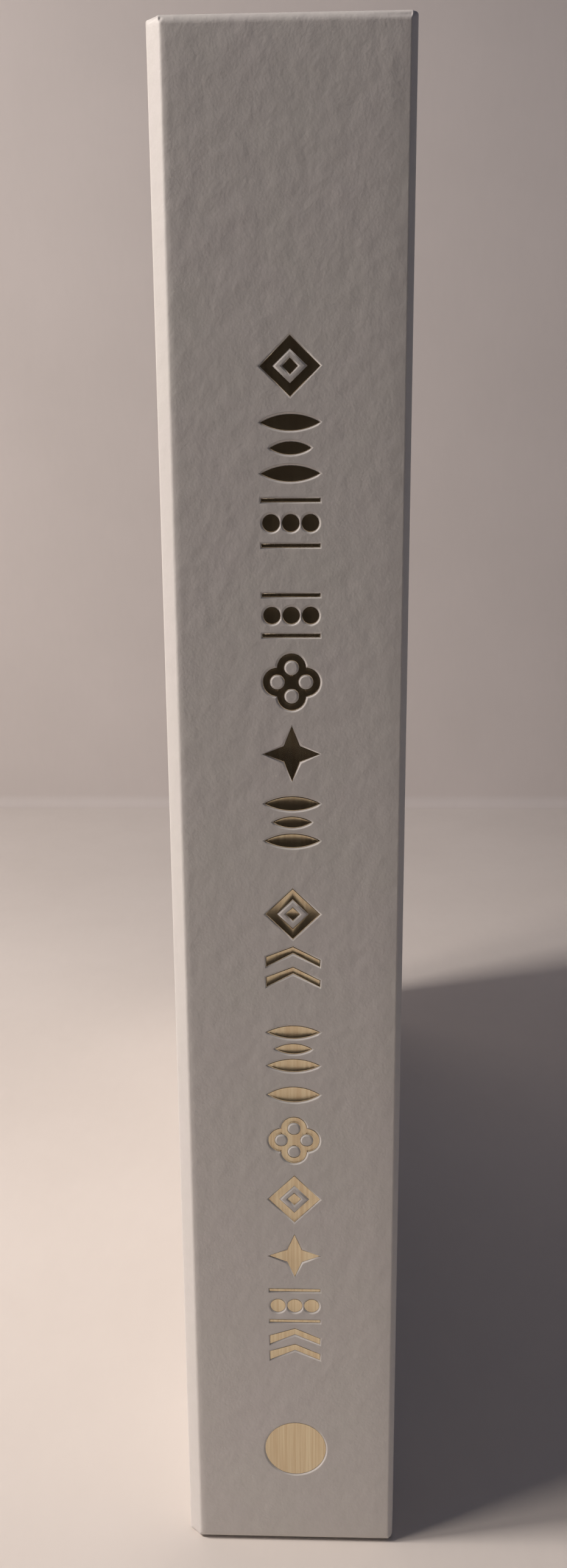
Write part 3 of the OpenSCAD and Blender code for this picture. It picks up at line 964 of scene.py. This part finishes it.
groove = ease((BOOK_X, SIDE_Y), (GROOVE_X, SIDE_Y + SLOPE_W), 10)
groove += [(GROOVE_X, y) for y in spread(SIDE_Y + SLOPE_W, COVER_Y - SLOPE_W, 0.35)[1:-1]]
groove += ease((GROOVE_X, COVER_Y - SLOPE_W), (BOOK_X, COVER_Y), 10)
end_rise = [0.0, 0.03, 0.1, 0.2, 0.35, 0.6]
strip_heights = end_rise + spread(1.0, BOOK_H - 1.0, 8) + [BOOK_H - z for z in reversed(end_rise)]
for side, word in SIDES:
    sheet_points = []
    for z in strip_heights:
        tuck = TUCK * (1 - smooth_step(min(z, BOOK_H - z) / 0.35))
        sheet_points += [(side * (x - tuck), y, drawn_in(z, 1 - smooth_step((y - SIDE_Y) / SLOPE_W)))
                         for x, y in groove]
    strip = add_piece(word + "_joint_paper", sheet_points,
                      grid_faces(len(strip_heights), len(groove), flip=side < 0), cover_paper)
    thicken(strip, PAPER_T)
    mark_edges(strip, (-99, -99, 0), (99, 999, BOOK_H), 0.1)
    hinge_blend(strip)


# ---- Cover paper over the boards ----
# The same sheet again, drawn tight over each board, turned in on three sides and mitred at the corners.
# Its edges are rounded by the board and have lost a little of their white from handling.
BOARD_IN = 14.8
EDGE_R = 0.8
CORNER_R = 1.1
GRID = 12.0


def cover_outline():
    """The cover's edge as (y, z, outward y, outward z), from the joint round by tail, fore-edge and head."""
    ys = spread(COVER_Y, BOOK_D - GRID, 9) + [BOOK_D - GRID / 2, BOOK_D - 3.0]
    zs = spread(GRID, BOOK_H - GRID, 9)
    tail = [(y, 0.0, 0, -1) for y in ys]
    arc = []
    for i in range(9):
        a = math.radians(-90 + 90 * i / 8)
        arc.append((BOOK_D - CORNER_R + CORNER_R * math.cos(a), CORNER_R + CORNER_R * math.sin(a),
                    math.cos(a), math.sin(a)))
    side_low = [(BOOK_D, z, 1, 0) for z in (3.0, GRID / 2)]
    low = tail + arc + side_low
    high = [(y, BOOK_H - z, ny, -nz) for y, z, ny, nz in low]
    return low + [(BOOK_D, z, 1, 0) for z in zs] + high[::-1], ys[:-2], zs


outline, grid_ys, grid_zs = cover_outline()
section = [(GRID, BOOK_X), (6.0, BOOK_X), (2.0, BOOK_X)]
section += [(EDGE_R - a, b) for a, b in quarter((0, BOOK_X - EDGE_R), EDGE_R, EDGE_R, 90, 0, 8)]
section += [(EDGE_R - a, b) for a, b in quarter((0, BOARD_IN + EDGE_R), EDGE_R, EDGE_R, 0, -90, 8)]
section += [(2.0, BOARD_IN), (6.0, BOARD_IN), (TURN_IN, BOARD_IN)]


def edge_point(spot, inset, x):
    """A point of the wrap inset from the cover's outline, square to it, that never crosses its neighbours."""
    y, z, out_y, out_z = spot
    y, z = y - out_y * inset, z - out_z * inset
    if inset > CORNER_R:
        y, z = min(y, BOOK_D - inset), min(BOOK_H - inset, max(inset, z))
    return (x, y, z)


for side, word in SIDES:
    sheet_points = [edge_point(spot, inset, x) for spot in outline for inset, x in section]
    sheet_faces = grid_faces(len(outline), len(section))
    start = len(sheet_points)
    sheet_points += [(BOOK_X, y, z) for z in grid_zs for y in grid_ys]
    middle_faces = grid_faces(len(grid_zs), len(grid_ys))
    sheet_faces += [tuple(start + i for i in face) for face in middle_faces]
    if side < 0:
        sheet_points = [(-x, y, z) for x, y, z in sheet_points]
        sheet_faces = [face[::-1] for face in sheet_faces]
    cover = tidy_mesh(add_piece(word + "_cover_wrap", sheet_points, sheet_faces, cover_paper))
    thicken(cover, PAPER_T)
    low_x, high_x = sorted((side * BOARD_IN, side * BOOK_X))
    mark_edges(cover, (low_x, -999, 0), (high_x, BOOK_D, BOOK_H))
    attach(cover, word + "_cover")
    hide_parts(word + "_cover_paper")


# ---- Pastedowns ----
# The glued halves of the endpapers. They run from the fold at the pages over the joint to the board.
# Each lies on the turn-ins at its rim and sinks to the bare board inside them, which shows as a step.
PASTE_X = 14.6
PASTE_T = 0.1
SINK = 0.27
STEP_W = 1.1


def pastedown_x(y, z):
    """The x of a pastedown's visible side."""
    if y < 7.0:
        return PASTE_X - 0.26 * (1 - smooth_step((y - PAGE_Y) / 3.1))
    inside = min(y - COVER_Y, BOOK_D - TURN_IN - y, z - TURN_IN, BOOK_H - TURN_IN - z)
    return PASTE_X + SINK * smooth_step(inside / STEP_W)


def steps_at(low, high, edges, step):
    """Numbers from low to high with close ones where the sheet steps down."""
    near = [e + STEP_W * k / 4 for e in edges for k in range(-1, 6)]
    return sorted(set(round(v, 4) for v in spread(low, high, step) + [v for v in near if low < v < high]))


paste_ys = steps_at(PAGE_Y + 0.05, PAGE_Y + PAGE_W, [COVER_Y, BOOK_D - TURN_IN - STEP_W], 9)
paste_ys = sorted(set(paste_ys) | set(spread(PAGE_Y + 0.25, COVER_Y, 0.35)))
paste_zs = steps_at(PAGE_Z, PAGE_Z + PAGE_H, [TURN_IN, BOOK_H - TURN_IN - STEP_W], 9)
for side, word in SIDES:
    sheet_points = [(side * pastedown_x(y, z), y, z) for z in paste_zs for y in paste_ys]
    paste = add_piece(word + "_endpaper_glued", sheet_points,
                      grid_faces(len(paste_zs), len(paste_ys), flip=side > 0), endpaper)
    thicken(paste, PASTE_T)
    hinge_blend(paste)
    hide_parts(word + "_pastedown")


# ---- Table and wall ----
# A pale, warm, slightly uneven table top, and a pale wall half a metre behind the spine.
# The wall lets the light and the eye through from behind, so that the book can be seen from there too.
WALL_Y = 520.0
COVE_R = 7.0


def surface_material(name, tone, shade, roughness):
    material, tree, shader, place = new_material(name, roughness)
    stock = stock_node(tree, place, tone, shade, 9.0, 260.0, 0.12)
    paint(tree, shader, stock["Color"])
    relief(tree, shader, stock["Fibre"], 0.06)
    return material, tree, shader


table_top, tree, shader = surface_material("table_top", (0.78, 0.73, 0.685), (0.72, 0.67, 0.625), 0.6)
wall_paint, tree, shader = surface_material("wall_paint", (0.74, 0.68, 0.645), (0.69, 0.635, 0.6), 0.8)
behind = add_node(tree, "ShaderNodeNewGeometry").outputs["Backfacing"]
clear = tree.nodes.new("ShaderNodeBsdfTransparent")
either = add_node(tree, "ShaderNodeMixShader", {0: behind, 1: shader.outputs[0], 2: clear.outputs[0]})
tree.links.new(either.outputs[0], tree.nodes["Material Output"].inputs["Surface"])
table = add_piece("table", [(-3000, -3000, 0), (3000, -3000, 0), (3000, 3000, 0), (-3000, 3000, 0)],
                  [(0, 1, 2, 3)], table_top, smooth=False)
cove = [(COVE_R - COVE_R * math.cos(math.radians(a)), WALL_Y - COVE_R + COVE_R * math.sin(math.radians(a)))
        for a in range(0, 91, 15)] + [(1800.0, WALL_Y)]
wall_points = [(x, y, z + 0.05) for x in (-2000, 2000) for z, y in cove]
wall = add_piece("wall", wall_points, grid_faces(2, len(cove), flip=True), wall_paint)


# ---- Light and camera ----
# A small warm lamp stands to the left, just in front of the spine's plane, and a weaker one with a narrow
# beam stands higher and further forward, in a dim cool room.
# A dark card in front, out of sight and without a shadow, is what the upper foil mirrors.
LAMP = (-600.0, -225.0, 900.0)
LAMP_AIM = (0.0, -40.0, 0.0)
LAMP_BEAM = 75
LAMP_SIZE = (0.13, 0.2)
LAMP_POWER = 0.45
SIDE_LAMP = (-640.0, -55.0, 640.0)
SIDE_AIM = (-60.0, 60.0, 80.0)
SIDE_BEAM = 180
SIDE_SIZE = (0.14, 0.16)
SIDE_POWER = 5.4
CARD_Y = -255.0
CARD_HALF = 240
CARD_TOP = 460
ROOM_TONE = (0.48, 0.58, 0.87)
ROOM_POWER = 0.122
CAMERA_PLACE = (5.3, -282.45, 177.7)
CAMERA_TURN = (-1.9, 13.36, -0.41)


def add_lamp(name, place, size, power, colour, target, beam):
    """A lamp at a place in millimetres, turned towards a target."""
    light = bpy.data.lights.new(name, "AREA")
    light.spread = math.radians(beam)
    light.shape = "RECTANGLE"
    light.size, light.size_y = size
    light.energy = power
    light.color = colour
    lamp = bpy.data.objects.new(name, light)
    lamp.visible_camera = False
    bpy.context.scene.collection.objects.link(lamp)
    lamp.location, goal = (Vector((x * MM, cad_low.y + y * MM, z * MM)) for x, y, z in (place, target))
    lamp.rotation_euler = (goal - lamp.location).to_track_quat("-Z", "Y").to_euler()


add_lamp("lamp", LAMP, LAMP_SIZE, LAMP_POWER, (1.0, 0.89, 0.81), LAMP_AIM, LAMP_BEAM)
add_lamp("side_lamp", SIDE_LAMP, SIDE_SIZE, SIDE_POWER, (1.0, 0.91, 0.85), SIDE_AIM, SIDE_BEAM)

card_material, tree, shader, place = new_material("dark_card", 0.9)
card_tone = stock_node(tree, place, (0.02, 0.017, 0.015), (0.016, 0.014, 0.012), 60.0, 900.0, 0.4)
paint(tree, shader, card_tone["Color"])
card_corners = [(-CARD_HALF, CARD_Y, 0.5), (CARD_HALF, CARD_Y, 0.5),
                (CARD_HALF, CARD_Y, CARD_TOP), (-CARD_HALF, CARD_Y, CARD_TOP)]
card = add_piece("dark_card", card_corners, [(3, 2, 1, 0)], card_material, smooth=False)
card.visible_camera = False
card.visible_shadow = False

world = bpy.data.worlds.new("room")
world.use_nodes = True
room = world.node_tree.nodes["Background"].inputs
room["Color"].default_value = (*ROOM_TONE, 1)
room["Strength"].default_value = ROOM_POWER
bpy.context.scene.world = world
bpy.context.scene.view_settings.view_transform = "Standard"

yaw, dip, roll = (math.radians(a) for a in CAMERA_TURN)
forward = Vector((math.sin(yaw) * math.cos(dip), math.cos(yaw) * math.cos(dip), -math.sin(dip)))
level = Vector((math.cos(yaw), -math.sin(yaw), 0))
upward = level.cross(forward)
right = level * math.cos(roll) + upward * math.sin(roll)
above = upward * math.cos(roll) - level * math.sin(roll)
camera_data = bpy.data.cameras.new("camera")
camera_data.lens = 27.04
camera_data.sensor_width = 36.0
camera_data.clip_start = 0.01
camera = bpy.data.objects.new("camera", camera_data)
camera.matrix_world = Matrix((right, above, -forward)).transposed().to_4x4()
camera.location = [a * MM for a in CAMERA_PLACE]
bpy.context.scene.collection.objects.link(camera)
bpy.context.scene.camera = camera
